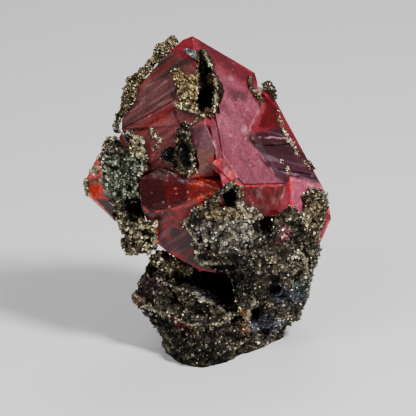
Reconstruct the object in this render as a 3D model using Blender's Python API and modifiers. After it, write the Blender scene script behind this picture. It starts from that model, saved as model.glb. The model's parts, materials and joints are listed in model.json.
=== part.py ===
"""A raspberry calcite: a large red rhombohedral crystal and two side crystals on a vuggy rock.

Sulphides make up the rock, and crust the crystal's hollows and edges.
"""

import math
import random

import bmesh
import bpy
from mathutils import Matrix, Vector, noise
from mathutils.bvhtree import BVHTree

MM = 0.001

# The specimen was measured from the front, looking down at this angle. A point is given as it is
# seen from there, in mm: how far across, how far up, and how far away from the base's front corner.
SIGHT_TILT = math.radians(18)
SIGHT_RISE = math.sin(SIGHT_TILT)
SIGHT_LEVEL = math.cos(SIGHT_TILT)

GAP = 0.65  # left around a crystal where another piece has grown against it
CUTTER_VOXEL = 0.5
STOCK = 160.0  # the block under the floor that the base is cut flat with


def seen(across, up, away):
    """The place, in mm, of a point seen that far across and up, at that distance away."""
    return Vector((across, away, (up - away * SIGHT_RISE) / SIGHT_LEVEL))


class Face:
    """A flat crystal face through three points."""

    def __init__(self, first, second, third):
        self.point = first
        self.normal = (second - first).cross(third - first).normalized()
        if self.normal.y > 0:
            self.normal.negate()

    def at(self, across, up):
        """The point of the face that is seen that far across and up."""
        near = seen(across, up, 0.0)
        step = seen(across, up, 1.0) - near
        return near + step * (self.normal.dot(self.point - near) / self.normal.dot(step))


# Corners of the main crystal that several faces share
SUMMIT = seen(-3.8, 83.4, 26.0)
RIGHT_PEAK = seen(11.7, 74.6, 31.0)
PROW = seen(-0.75, 61.5, 11.0)
LEFT_CORNER = seen(-21.5, 62.7, 26.0)
SADDLE = seen(9.2, 58.2, 15.6)
EAST_SHOULDER = seen(18.9, 60.2, 27.0)
BROW = seen(3.6, 45.3, 5.0)

# The faces that show from the front
BRIGHT_FACE = Face(SUMMIT, RIGHT_PEAK, PROW)
STRIATED_FACE = Face(SUMMIT, PROW, LEFT_CORNER)
BROAD_FACE = Face(PROW, SADDLE, BROW)
DARK_FACE = Face(SADDLE, BROAD_FACE.at(19.2, 46.0), EAST_SHOULDER)
VIOLET_FACE = Face(seen(-20.7, 59.0, 24.5), seen(-5.7, 64.0, 15.6), seen(-5.0, 48.5, 8.3))
LILAC_FACE = Face(PROW, BROAD_FACE.at(2.3, 54.7), VIOLET_FACE.at(-6.0, 57.5))
SKIRT_FACE = Face(BROAD_FACE.at(8.0, 46.4), BROAD_FACE.at(16.0, 46.2), seen(9.2, 38.6, 6.6))
ROSE_FACE = Face(seen(20.6, 48.4, 15.5), DARK_FACE.at(29.2, 45.2), seen(20.7, 38.7, 12.5))
WINDOW_FACE = Face(seen(-16.7, 48.2, 13.4), seen(3.5, 45.5, 6.6), seen(-8.0, 40.5, 8.8))
DULL_FACE = Face(seen(-12.0, 39.8, 9.6), seen(-5.0, 41.2, 7.2), seen(-9.5, 29.5, 11.4))

# Blocks that the main crystal has grown from, by their corners
SUMMIT_BLOCK = [
    SUMMIT,
    STRIATED_FACE.at(-6.3, 82.5),
    STRIATED_FACE.at(-12.0, 77.3),
    STRIATED_FACE.at(-17.4, 70.7),
    LEFT_CORNER,
    STRIATED_FACE.at(-21.6, 60.6),
    STRIATED_FACE.at(-8.4, 66.6),
    PROW,
    BRIGHT_FACE.at(1.5, 60.6),
    SADDLE,
    BRIGHT_FACE.at(12.9, 66.5),
    BRIGHT_FACE.at(12.3, 72.4),
    RIGHT_PEAK,
    Vector((-12.0, 47.0, 52.0)),
    Vector((8.0, 49.0, 51.0)),
    Vector((-17.0, 40.0, 32.0)),
    Vector((10.0, 44.0, 30.0)),
    Vector((0.0, 28.0, 22.0)),
]
EAST_BLOCK = [
    seen(12.4, 71.2, 32.5),
    seen(15.4, 70.6, 32.0),
    seen(17.2, 64.0, 29.5),
    EAST_SHOULDER,
    DARK_FACE.at(20.6, 57.0),
    DARK_FACE.at(23.5, 52.5),
    DARK_FACE.at(27.0, 48.5),
    DARK_FACE.at(29.2, 45.2),
    SADDLE,
    BROAD_FACE.at(0.5, 61.0),
    BROAD_FACE.at(2.3, 54.7),
    BROW,
    BROAD_FACE.at(8.0, 46.4),
    BROAD_FACE.at(19.2, 46.0),
    SKIRT_FACE.at(9.2, 38.6),
    SKIRT_FACE.at(15.6, 39.2),
    ROSE_FACE.at(20.7, 38.7),
    seen(30.2, 41.0, 24.5),
    Vector((14.0, 45.0, 50.0)),
    Vector((24.0, 41.0, 32.0)),
    Vector((8.0, 40.0, 24.0)),
    Vector((25.0, 30.0, 26.0)),
]
WEST_BLOCK = [
    VIOLET_FACE.at(-22.3, 58.4),
    VIOLET_FACE.at(-20.8, 60.8),
    VIOLET_FACE.at(-8.0, 65.5),
    VIOLET_FACE.at(-6.0, 57.5),
    PROW,
    BROAD_FACE.at(2.3, 54.7),
    LILAC_FACE.at(1.2, 48.6),
    VIOLET_FACE.at(-4.4, 48.0),
    VIOLET_FACE.at(-12.0, 50.6),
    VIOLET_FACE.at(-17.2, 48.4),
    Vector((-19.0, 38.0, 50.0)),
    Vector((-18.0, 36.0, 34.0)),
    Vector((0.0, 30.0, 30.0)),
    Vector((8.0, 20.0, 44.0)),
]
FOOT_BLOCK = [
    WINDOW_FACE.at(-16.9, 48.0),
    WINDOW_FACE.at(-12.0, 50.6),
    WINDOW_FACE.at(2.4, 47.0),
    WINDOW_FACE.at(-16.6, 41.2),
    WINDOW_FACE.at(-14.4, 39.4),
    WINDOW_FACE.at(-8.0, 40.4),
    BROW,
    seen(8.0, 44.0, 7.0),
    DULL_FACE.at(-12.0, 39.6),
    DULL_FACE.at(-12.5, 31.8),
    DULL_FACE.at(-9.5, 29.4),
    DULL_FACE.at(-5.2, 27.2),
    DULL_FACE.at(-2.0, 25.3),
    DULL_FACE.at(1.8, 24.7),
    seen(7.0, 30.0, 10.0),
    Vector((-14.0, 30.0, 26.0)),
    Vector((-4.0, 26.0, 20.0)),
    Vector((8.0, 24.0, 24.0)),
    Vector((-12.0, 34.0, 44.0)),
    Vector((6.0, 30.0, 44.0)),
]
LEFT_CRYSTAL = [
    seen(-26.6, 55.2, 26.5),
    seen(-28.6, 52.0, 25.0),
    seen(-31.0, 47.2, 24.5),
    seen(-31.1, 44.8, 24.5),
    seen(-28.6, 43.0, 20.5),
    seen(-24.0, 38.6, 21.5),
    seen(-23.4, 37.4, 24.0),
    seen(-25.0, 50.0, 20.0),
    seen(-22.0, 46.0, 19.0),
    Vector((-27.0, 33.0, 42.0)),
    Vector((-21.0, 36.0, 44.0)),
    Vector((-20.5, 33.0, 30.0)),
]
RIGHT_CRYSTAL = [
    seen(27.6, 40.6, 25.0),
    seen(30.6, 40.8, 26.0),
    seen(31.0, 38.0, 25.5),
    seen(28.3, 31.8, 25.5),
    seen(26.6, 33.0, 24.0),
    Vector((28.6, 36.0, 34.0)),
    Vector((24.0, 36.0, 28.0)),
    Vector((25.0, 35.0, 22.5)),
]

# Cleavage steps left standing on the faces: face, outline as seen, height above the face
STEPS = {
    "broad_step": (
        BROAD_FACE,
        [(1.6, 64.0), (11.0, 60.0), (19.0, 46.9), (8.6, 46.6), (6.4, 49.2), (3.6, 52.6)],
        0.5,
    ),
    "corner_step": (BROAD_FACE, [(3.0, 53.4), (7.4, 48.2), (5.4, 47.4), (0.8, 51.8)], 0.45),
    "shoulder_step": (DARK_FACE, [(9.6, 58.4), (18.0, 60.6), (21.2, 56.8), (11.0, 56.0)], 0.8),
    "ridge_step": (DARK_FACE, [(11.8, 54.6), (23.0, 52.6), (25.6, 49.2), (14.6, 50.6)], 0.6),
    "striated_step": (STRIATED_FACE, [(-21.2, 62.8), (-9.0, 69.4), (-8.2, 67.4), (-20.8, 60.8)], 0.5),
    "violet_step": (VIOLET_FACE, [(-17.4, 55.4), (-8.4, 59.8), (-7.4, 56.0), (-14.0, 51.6)], 0.5),
}


def collection(name, helpers):
    group = bpy.data.collections.new(name)
    bpy.context.scene.collection.children.link(group)
    group.hide_render = helpers
    return group


def new_object(name, bm, group):
    """A mesh object, in metres, from a bmesh in mm."""
    bm.transform(Matrix.Scale(MM, 4))
    bmesh.ops.recalc_face_normals(bm, faces=bm.faces)
    mesh = bpy.data.meshes.new(name)
    bm.to_mesh(mesh)
    bm.free()
    obj = bpy.data.objects.new(name, mesh)
    group.objects.link(obj)
    if group.hide_render:
        obj.hide_render = True
        obj.display_type = "WIRE"
    return obj


def hull(name, corners, group):
    """A convex chunk around its corners."""
    bm = bmesh.new()
    for corner in corners:
        bm.verts.new(corner)
    made = bmesh.ops.convex_hull(bm, input=bm.verts[:])
    inner = [part for part in made["geom_interior"] if isinstance(part, bmesh.types.BMVert)]
    bmesh.ops.delete(bm, geom=inner, context="VERTS")
    bmesh.ops.dissolve_limit(bm, angle_limit=math.radians(0.5), verts=bm.verts[:], edges=bm.edges[:])
    return new_object(name, bm, group)


def slab(name, face, outline, height, depth, group):
    """A slab on a face: its outline as seen, from the height above the face to the depth below it."""
    bm = bmesh.new()
    corners = [face.at(across, up) for across, up in outline]
    top = bm.faces.new([bm.verts.new(corner + face.normal * height) for corner in corners])
    raised = bmesh.ops.extrude_face_region(bm, geom=[top])
    foot = [part for part in raised["geom"] if isinstance(part, bmesh.types.BMVert)]
    bmesh.ops.translate(bm, verts=foot, vec=-face.normal * (height + depth))
    return new_object(name, bm, group)


def boolean(obj, operation, other):
    """Join or cut with the Manifold solver: the Exact one turns some of the rough skins inside out."""
    cut = obj.modifiers.new(operation.lower(), "BOOLEAN")
    cut.operation = operation
    cut.solver = "MANIFOLD"
    if isinstance(other, bpy.types.Collection):
        cut.operand_type = "COLLECTION"
        cut.collection = other
    else:
        cut.object = other
    return cut


def lumps(name, knots, group, seed, pimples=0.0):
    """Overlapping lumps strung between knots, each knot as seen plus its radius."""
    rng = random.Random(seed)
    bm = bmesh.new()
    for (start, start_radius), (end, end_radius) in knots:
        run = (end - start).length
        count = max(1, math.ceil(run / (0.7 * min(start_radius, end_radius))))
        for i in range(count + 1):
            radius = start_radius + (end_radius - start_radius) * i / count
            centre = start.lerp(end, i / count)
            wander = Vector([rng.uniform(-0.15, 0.15) * radius for _ in range(3)])
            place = Matrix.Translation(centre + wander)
            size = radius * rng.uniform(0.9, 1.08)
            bmesh.ops.create_icosphere(bm, subdivisions=2, radius=size, matrix=place)
            if pimples:
                for _ in range(int(4 + 2.5 * radius)):
                    side = Vector([rng.gauss(0, 1) for _ in range(3)]).normalized()
                    place = Matrix.Translation(centre + wander + side * size * 0.92)
                    bump = size * rng.uniform(0.18, 0.34) * pimples
                    bmesh.ops.create_icosphere(bm, subdivisions=1, radius=bump, matrix=place)
    return new_object(name, bm, group)


def path(*knots):
    """The runs between knots given as across, up, away and radius."""
    ends = [(seen(across, up, away), radius) for across, up, away, radius in knots]
    return list(zip(ends, ends[1:]))


def along(face, *knots):
    """The runs between knots on a crystal face, given as across, up and radius."""
    ends = [(face.at(across, up), radius) for across, up, radius in knots]
    return list(zip(ends, ends[1:]))


# Strings of lumps that the rock and its crusts are fused from: across, up, away, radius
ROCK = [
    path((4.0, 16.0, 24.0, 13.0), (10.0, 30.0, 26.0, 13.0), (2.0, 36.0, 40.0, 10.0)),
    path((-2.0, 14.0, 38.0, 8.0), (8.0, 20.0, 42.0, 10.0), (20.0, 28.0, 34.0, 8.0)),
    path((-2.5, 2.0, 6.0, 3.6), (-1.5, 5.0, 13.0, 7.0), (2.0, 10.0, 22.0, 8.0)),
    path((1.0, 9.0, 26.0, 8.0), (-3.0, 11.5, 33.0, 7.0), (-4.0, 13.0, 38.0, 6.5)),
    path((9.0, 10.5, 30.0, 7.0), (7.0, 12.5, 37.0, 6.0)),
    path((2.0, 3.6, 9.0, 3.4), (8.0, 7.0, 18.0, 4.4), (14.5, 9.5, 25.0, 4.4)),
    path((-9.5, 9.5, 20.0, 3.6), (-7.5, 6.0, 16.0, 3.6), (-5.0, 2.6, 8.0, 2.8)),
    path((-18.3, 18.4, 19.5, 1.9), (-14.5, 16.2, 16.5, 2.8), (-9.5, 13.6, 15.0, 3.0)),
    path((-16.4, 22.0, 20.5, 2.4), (-11.0, 20.6, 16.5, 3.0), (-4.0, 18.4, 13.5, 2.8)),
    path((-4.0, 18.4, 13.5, 2.8), (1.2, 16.2, 12.6, 2.6)),
    path((-14.2, 25.2, 24.0, 2.4), (-9.0, 23.4, 22.0, 3.4), (-2.0, 21.5, 21.0, 3.4)),
    path((-12.0, 12.0, 16.0, 3.0), (-7.0, 11.2, 11.5, 3.2), (-2.0, 10.8, 9.0, 3.4), (3.4, 11.4, 11.0, 3.2)),
    path((-8.0, 7.2, 9.0, 2.0), (-3.5, 5.4, 5.4, 2.8), (2.6, 6.4, 9.0, 3.2)),
    path((8.6, 11.0, 15.0, 3.6), (9.0, 17.0, 11.4, 3.6), (9.8, 24.0, 9.0, 4.0), (8.0, 29.0, 6.8, 3.8)),
    path((15.0, 12.0, 20.5, 4.2), (17.0, 20.0, 15.0, 5.0), (16.0, 27.0, 10.0, 5.4)),
    path((16.0, 27.0, 10.0, 5.4), (14.5, 33.0, 8.6, 4.6)),
    path((20.0, 15.0, 24.5, 4.8), (21.2, 22.0, 19.5, 4.6), (23.0, 30.0, 16.0, 5.0)),
    path((23.0, 30.0, 16.0, 5.0), (24.4, 36.4, 16.0, 4.2)),
    path((23.4, 18.6, 26.0, 2.4), (23.2, 26.0, 24.0, 3.0), (26.4, 31.0, 22.0, 2.8)),
    path((26.0, 43.0, 17.6, 3.2), (28.0, 42.0, 19.0, 2.7), (25.4, 35.4, 18.0, 3.2)),
    path((20.6, 36.8, 11.0, 3.4), (17.0, 38.0, 9.4, 2.8)),
    path((18.4, 45.0, 12.8, 1.4), (18.0, 42.4, 11.2, 1.8), (18.6, 39.4, 11.0, 2.0)),
    path((1.0, 35.0, 5.2, 3.2), (6.0, 36.2, 5.0, 3.6), (11.0, 34.0, 6.4, 3.4)),
    path((-2.6, 32.5, 6.2, 2.2), (-1.4, 28.6, 7.4, 2.0), (3.6, 27.2, 7.2, 2.4)),
    path((0.5, 31.5, 5.8, 2.4), (4.6, 31.0, 5.4, 2.6)),
    path((-4.6, 36.6, 7.2, 1.6), (-3.4, 38.8, 6.6, 1.7), (-1.4, 40.8, 5.6, 1.7), (1.2, 42.6, 4.6, 1.6)),
    path((-2.4, 36.0, 6.0, 2.0), (0.6, 38.6, 5.0, 2.2), (4.0, 39.4, 4.4, 2.0), (7.6, 39.0, 4.8, 1.9)),
    path((1.2, 42.6, 4.6, 1.6), (3.0, 44.6, 3.6, 1.2), (4.4, 46.3, 4.2, 1.1), (6.4, 46.5, 5.0, 1.1)),
    path((6.4, 46.5, 5.0, 1.1), (7.9, 45.0, 5.4, 1.1), (7.6, 43.2, 4.9, 1.1), (8.6, 41.4, 5.0, 1.3)),
    path((8.6, 41.4, 5.0, 1.3), (9.6, 39.4, 5.2, 1.4), (13.0, 38.8, 7.2, 1.5)),
]
LEFT_MASS = [
    path((-24.0, 57.4, 22.0, 2.0), (-23.4, 52.4, 19.5, 3.4), (-22.8, 46.6, 18.0, 3.8)),
    path((-22.8, 46.6, 18.0, 3.8), (-20.6, 41.8, 17.0, 3.2)),
    path((-19.0, 58.4, 19.0, 2.0), (-17.8, 54.0, 16.8, 2.6), (-18.0, 48.4, 15.2, 2.8)),
    path((-18.0, 48.4, 15.2, 2.8), (-18.2, 43.4, 14.6, 2.6)),
    path((-19.6, 37.0, 16.0, 3.0), (-15.6, 36.8, 13.4, 3.0), (-15.2, 32.8, 13.4, 3.3)),
    path((-15.2, 32.8, 13.4, 3.3), (-19.8, 31.8, 16.0, 2.6)),
    path((-14.0, 37.2, 12.0, 2.0), (-11.8, 37.2, 10.2, 1.5)),
    path((-22.0, 50.0, 26.0, 3.4), (-20.0, 40.0, 24.0, 4.0), (-17.0, 34.0, 20.0, 3.6)),
]
CLUSTER = [
    path((-11.6, 27.6, 13.4, 2.6), (-8.4, 27.2, 13.0, 2.4)),
    path((-5.8, 25.4, 12.8, 1.5), (-4.6, 24.6, 12.6, 1.2)),
    path((-10.0, 27.0, 18.0, 3.2), (-6.0, 25.5, 19.0, 2.6)),
]
SUMMIT_BED = [
    path((-1.4, 78.4, 23.0, 1.6), (-0.6, 74.0, 22.0, 3.0), (-0.4, 69.5, 18.5, 4.0), (-0.2, 65.5, 15.6, 3.2)),
    path((-0.8, 72.0, 26.0, 3.4), (0.0, 67.0, 22.0, 4.4)),
    path((-6.8, 73.0, 22.6, 1.9), (-5.0, 69.0, 19.6, 2.4), (-3.8, 66.0, 17.0, 2.2)),
]
SUMMIT_RIM = [
    along(STRIATED_FACE, (-8.2, 75.0, 1.2), (-6.6, 73.4, 1.9), (-4.4, 72.0, 1.9), (-5.4, 69.4, 1.8)),
    along(STRIATED_FACE, (-5.4, 69.4, 1.8), (-3.6, 66.8, 1.8)),
    along(STRIATED_FACE, (-8.6, 66.2, 0.9), (-6.0, 65.8, 1.1), (-3.4, 64.8, 1.3), (-1.0, 63.2, 1.3)),
    along(STRIATED_FACE, (-5.8, 79.8, 0.7), (-4.2, 79.6, 1.1), (-2.6, 78.0, 1.1)),
    along(BRIGHT_FACE, (-1.4, 80.0, 0.8), (-0.2, 77.2, 1.0), (1.6, 74.4, 1.1), (2.5, 71.0, 1.2)),
    along(BRIGHT_FACE, (2.5, 71.0, 1.2), (2.3, 67.6, 1.0)),
    along(BRIGHT_FACE, (2.3, 67.6, 1.0), (2.1, 64.6, 1.5), (0.2, 62.8, 1.2)),
]
MIDDLE_BED = [
    path((-5.6, 60.6, 11.6, 1.3), (-6.2, 56.4, 11.0, 2.4), (-4.8, 51.6, 8.6, 2.4)),
    path((-9.8, 54.4, 13.6, 1.7), (-7.0, 52.4, 11.2, 2.2)),
]
MIDDLE_RIM = [
    along(VIOLET_FACE, (-6.4, 61.6, 0.9), (-5.4, 60.2, 1.2), (-6.8, 57.2, 1.4)),
    along(VIOLET_FACE, (-10.8, 55.6, 1.0), (-8.8, 57.0, 1.1), (-11.0, 52.8, 1.1), (-7.8, 51.2, 1.1)),
    along(VIOLET_FACE, (-7.8, 51.2, 1.1), (-4.6, 48.6, 0.9), (-3.6, 50.4, 1.0), (-4.4, 53.4, 0.9)),
    along(VIOLET_FACE, (-4.4, 53.4, 0.9), (-5.6, 55.8, 0.9)),
]
RIDGE_CRUST = [
    along(STRIATED_FACE, (-8.4, 81.8, 1.4), (-11.4, 79.4, 1.8), (-14.2, 76.4, 1.1), (-17.0, 73.4, 1.5)),
    along(STRIATED_FACE, (-17.0, 73.4, 1.5), (-18.9, 70.4, 2.5), (-19.4, 67.2, 2.4), (-20.8, 65.0, 1.0)),
    along(STRIATED_FACE, (-20.8, 65.0, 1.0), (-21.8, 63.2, 1.6), (-22.6, 60.8, 1.4)),
]
SHOULDER_CRUSTS = {
    "pyrite_crust_right_shoulder": [path((15.4, 71.4, 31.2, 1.5), (16.4, 68.4, 30.0, 1.0))],
    "pyrite_crust_right_notch": [
        along(BRIGHT_FACE, (9.8, 73.2, 0.9), (10.2, 70.2, 1.1), (11.8, 68.0, 1.4), (12.8, 66.6, 1.1)),
    ],
    "pyrite_crust_right_edge": [
        along(DARK_FACE, (18.4, 61.6, 0.8), (20.6, 58.0, 1.0), (23.0, 54.6, 0.8), (26.0, 50.4, 0.8)),
    ],
}

# Bites into what shows of a piece from the front: across, up, radius and depth
ROCK_PITS = [
    (-7.0, 23.4, 1.7, 4.0),
    (-3.4, 22.8, 2.4, 6.0),
    (0.6, 22.0, 3.2, 9.0),
    (4.4, 21.0, 3.8, 12.0),
    (5.2, 17.6, 2.6, 9.0),
    (5.5, 43.6, 1.5, 4.0),
    (13.8, 36.6, 2.0, 4.0),
    (18.2, 41.4, 1.9, 2.0),
    (1.4, 35.0, 1.2, 0.6),
    (5.8, 33.6, 1.1, 0.6),
    (-0.8, 30.2, 1.0, 0.8),
    (24.2, 35.6, 0.8, 1.6),
    (25.8, 34.2, 0.8, 1.6),
    (11.5, 14.2, 1.7, 5.0),
    (16.2, 23.4, 1.2, 3.0),
    (16.8, 20.6, 1.3, 3.4),
    (8.0, 30.0, 0.9, 1.6),
    (11.0, 27.2, 0.8, 1.4),
    (13.6, 24.0, 0.9, 1.6),
    (9.4, 21.4, 0.9, 1.6),
    (20.6, 27.2, 1.0, 1.8),
    (22.4, 30.6, 0.9, 1.4),
    (-7.6, 17.8, 2.3, 2.4),
    (-2.4, 14.8, 2.1, 2.2),
    (1.8, 13.2, 1.3, 1.8),
    (-14.0, 18.2, 1.5, 1.8),
    (-5.8, 13.2, 1.0, 1.4),
    (-9.4, 9.2, 1.0, 1.4),
    (-0.8, 4.2, 1.3, 1.4),
    (9.2, 9.0, 1.1, 1.8),
    (14.2, 10.4, 0.9, 1.4),
    (23.0, 20.2, 1.0, 1.6),
    (19.2, 14.8, 0.9, 1.4),
]
LEFT_PITS = [
    (-17.6, 41.0, 1.7, 2.6),
    (-22.2, 58.2, 1.2, 1.8),
    (-24.2, 51.4, 0.9, 1.4),
    (-19.6, 47.8, 1.0, 1.6),
    (-22.4, 44.0, 0.9, 1.4),
    (-20.2, 34.2, 1.0, 1.6),
    (-15.0, 32.4, 0.9, 1.4),
]

# Rims that stand on what shows of the rock: knots of across, up and radius
ROCK_RIMS = [
    [(-10.6, 22.4, 1.0), (-7.4, 21.4, 1.1), (-4.0, 20.0, 1.1), (-1.0, 17.6, 1.0), (-1.6, 15.6, 0.9)],
    [(-2.0, 17.6, 0.9), (2.4, 16.4, 1.1), (5.2, 15.0, 1.1), (5.0, 12.8, 1.0), (-0.6, 11.6, 0.9)],
    [(-0.6, 11.6, 0.9), (-4.4, 11.4, 1.0)],
    [(-4.4, 11.4, 1.0), (-8.2, 13.2, 1.1), (-11.6, 15.6, 1.2), (-16.6, 16.4, 1.1)],
    [(9.6, 17.6, 1.0), (9.0, 13.0, 1.1), (9.6, 9.6, 1.0)],
    [(22.6, 28.4, 1.1), (24.4, 25.0, 1.1), (24.6, 21.4, 0.9)],
    [(-6.0, 36.4, 1.0), (-4.2, 33.4, 1.0), (-2.0, 31.0, 1.0), (-3.0, 28.0, 0.9), (1.6, 27.0, 0.9)],
    [(17.4, 25.6, 1.3), (18.6, 22.4, 1.2), (18.4, 20.0, 1.1)],
]
LEFT_RIMS = [
    [(-24.4, 57.6, 1.0), (-20.0, 59.4, 1.0), (-16.2, 57.4, 1.1), (-16.0, 53.4, 1.1), (-16.8, 49.0, 1.1)],
    [(-15.4, 38.8, 0.9), (-12.4, 38.0, 1.0), (-13.2, 35.4, 1.0), (-12.8, 32.2, 0.9)],
]

# The open part of each crusted hollow
SUMMIT_PIT = [
    path((-1.6, 77.8, 22.6, 0.9), (-0.5, 74.2, 20.4, 1.5), (-0.2, 70.5, 17.6, 2.4), (-0.3, 66.6, 15.0, 2.3)),
    path((-0.6, 71.0, 20.0, 1.9), (-0.4, 68.0, 19.0, 2.9)),
]
MIDDLE_PIT = path((-6.2, 55.6, 8.4, 1.2), (-5.4, 52.6, 7.0, 1.5), (-4.6, 51.4, 6.6, 1.1))
NOTCH_BED = [
    path((10.6, 72.0, 27.8, 1.1), (10.4, 69.6, 26.6, 0.9)),
    path((12.6, 67.6, 26.0, 1.2), (13.4, 68.4, 29.0, 1.6)),
]
BROW_BED = [path((5.4, 43.8, 5.0, 1.6), (5.4, 43.4, 10.0, 2.2))]


def fuse(obj, voxel):
    """Make one closed skin around everything in an object."""
    skin = obj.modifiers.new("fuse", "REMESH")
    skin.mode = "VOXEL"
    skin.voxel_size = voxel * MM
    obj.data = applied(obj)


def roughen(obj, height, seed):
    for vert in obj.data.vertices:
        place = vert.co / MM
        coarse = noise.noise(place * 0.32 + Vector((seed, 0, 0)))
        fine = noise.noise(place * 0.85 + Vector((0, seed, 0)))
        vert.co += vert.normal * (coarse * 0.9 + fine * 0.7) * height * MM


def thin_out(obj, triangles):
    """Simplify an object to about that many triangles."""
    now = sum(len(face.vertices) - 2 for face in obj.data.polygons)
    thin = obj.modifiers.new("thin out", "DECIMATE")
    thin.ratio = min(1.0, triangles / now)
    obj.data = applied(obj)


def rough_cutter(name, strings, group, seed, triangles=400):
    cutter = lumps(name, strings, group, seed)
    fuse(cutter, 0.7)
    roughen(cutter, 0.35, seed)
    thin_out(cutter, triangles)
    return cutter


def applied(obj):
    """The object's mesh with its modifiers applied, and the modifiers removed."""
    bpy.context.view_layer.update()
    depsgraph = bpy.context.evaluated_depsgraph_get()
    mesh = bpy.data.meshes.new_from_object(obj.evaluated_get(depsgraph))
    obj.modifiers.clear()
    return mesh


def swollen(obj, group, by=GAP):
    """A copy of a finished piece, grown on every side, to clear its neighbours with."""
    bigger = bpy.data.objects.new(obj.name + "_clearance", obj.data.copy())
    group.objects.link(bigger)
    bigger.hide_render = True
    bigger.display_type = "WIRE"
    skin = bigger.modifiers.new("even out", "REMESH")
    skin.mode = "VOXEL"
    skin.voxel_size = CUTTER_VOXEL * MM
    grow = bigger.modifiers.new("grow", "DISPLACE")
    grow.mid_level = 0.0
    grow.strength = by * MM
    thin = bigger.modifiers.new("thin out", "DECIMATE")
    thin.decimate_type = "DISSOLVE"
    thin.angle_limit = math.radians(4)
    bigger.data = applied(bigger)
    return bigger


class Front:
    """What shows of an object from the front."""

    def __init__(self, obj):
        points = [vert.co / MM for vert in obj.data.vertices]
        self.skin = BVHTree.FromPolygons(points, [face.vertices[:] for face in obj.data.polygons])

    def at(self, across, up, deeper=0.0):
        """The place seen there, or None where the object doesn't reach, moved on along the sight."""
        sight = Vector((0.0, SIGHT_LEVEL, -SIGHT_RISE))
        hit = self.skin.ray_cast(seen(across, up, -STOCK), sight)[0]
        return hit and hit + sight * deeper


def pitted(obj, pits, group, seed):
    """Take bites out of what shows of an object."""
    front = Front(obj)
    bites = []
    for across, up, radius, depth in pits:
        mouth = front.at(across, up, -0.2 * radius)
        if mouth is not None:
            bites.append(((mouth, radius), (front.at(across, up, depth), radius * 0.8)))
    boolean(obj, "DIFFERENCE", rough_cutter(obj.name + "_pits", bites, group, seed, 6000))
    obj.data = applied(obj)


def rimmed(obj, rims, seed):
    """Set rows of small lumps on what shows of an object."""
    front = Front(obj)
    rng = random.Random(seed)
    bm = bmesh.new()
    bm.from_mesh(obj.data)
    for rim in rims:
        for (across, up, radius), (next_across, next_up, _) in zip(rim, rim[1:]):
            count = math.ceil(math.hypot(next_across - across, next_up - up) / (0.8 * radius))
            for i in range(count):
                share = i / count
                place = front.at(across + (next_across - across) * share, up + (next_up - up) * share)
                if place is None:
                    continue
                lump = Matrix.Translation(place * MM)
                size = radius * rng.uniform(0.8, 1.15) * MM
                bmesh.ops.create_icosphere(bm, subdivisions=2, radius=size, matrix=lump)
    bm.to_mesh(obj.data)
    bm.free()


def biggest_body(obj):
    """Drop the crumbs that cutting has left beside the main body."""
    bm = bmesh.new()
    bm.from_mesh(obj.data)
    unseen = set(bm.faces)
    bodies = []
    while unseen:
        body = [unseen.pop()]
        for face in body:
            near = {other for edge in face.edges if edge.is_manifold for other in edge.link_faces}
            near &= unseen
            unseen -= near
            body.extend(near)
        bodies.append(body)
    bodies.sort(key=len)
    bmesh.ops.delete(bm, geom=[face for body in bodies[:-1] for face in body], context="FACES")
    bm.to_mesh(obj.data)
    bm.free()


def joined(strings):
    return [run for string in strings for run in string]


def material(name, colour, roughness, metallic=0.0, transmission=0.0):
    made = bpy.data.materials.new(name)
    made.use_nodes = True
    finish = made.node_tree.nodes["Principled BSDF"]
    finish.inputs["Base Color"].default_value = (*colour, 1.0)
    finish.inputs["Roughness"].default_value = roughness
    finish.inputs["Metallic"].default_value = metallic
    finish.inputs["Transmission Weight"].default_value = transmission
    made.diffuse_color = (*colour, 1.0)
    return made


def main_crystal(parts, cutters, finish):
    """The large crystal: its blocks and steps in one, with the beds of its crusts cut in."""
    beds = [
        rough_cutter("summit_bed", joined(SUMMIT_BED), cutters, 1, 260),
        rough_cutter("middle_bed", joined(MIDDLE_BED), cutters, 2, 260),
        rough_cutter("notch_bed", joined(NOTCH_BED), cutters, 3, 160),
        rough_cutter("brow_bed", joined(BROW_BED), cutters, 4, 160),
    ]
    obj = hull("raspberry_crystal", SUMMIT_BLOCK, parts)
    blocks = {"east_block": EAST_BLOCK, "west_block": WEST_BLOCK, "foot_block": FOOT_BLOCK}
    for name, corners in blocks.items():
        boolean(obj, "UNION", hull(name, corners, cutters))
    for name, (face, outline, height) in STEPS.items():
        boolean(obj, "UNION", slab(name, face, outline, height, 1.5, cutters))
    for bed in beds:
        boolean(obj, "DIFFERENCE", bed)
    obj.data = applied(obj)
    biggest_body(obj)
    obj.data.materials.clear()
    obj.data.materials.append(finish)
    return obj


def crystal(name, corners, parts, finish):
    obj = hull(name, corners, parts)
    obj.data.materials.append(finish)
    return obj


def grown_on(
    name, strings, grown, solids, triangles, seed, parts, cutters, finish, voxel=0.5, pits=(), rims=(),
    hollow=None,
):
    """A lumpy sulphide piece, pitted and rimmed, and fitted round what it grows on."""
    obj = lumps(name, joined(strings), parts, seed, 1.0)
    fuse(obj, voxel)
    roughen(obj, 0.5, seed)
    if pits:
        pitted(obj, pits, cutters, seed)
    if rims:
        rimmed(obj, rims, seed)
        fuse(obj, voxel)
    cuts = [rough_cutter(name + "_hollow", hollow, cutters, seed)] if hollow else []
    for cutter in cuts + grown:
        boolean(obj, "DIFFERENCE", cutter)
    obj.data = applied(obj)
    biggest_body(obj)
    fuse(obj, voxel)
    thin_out(obj, triangles)
    for solid in solids:
        boolean(obj, "DIFFERENCE", solid)
    obj.data = applied(obj)
    biggest_body(obj)
    obj.data.materials.clear()
    obj.data.materials.append(finish)
    return obj


def stand_over_origin(objects):
    """Move the pieces so that the middle of their box is over the origin."""
    corners = [vert.co for obj in objects for vert in obj.data.vertices]
    middle = [(min(c[i] for c in corners) + max(c[i] for c in corners)) / 2 for i in range(2)]
    for obj in objects:
        obj.data.transform(Matrix.Translation((-middle[0], -middle[1], 0.0)))


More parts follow.
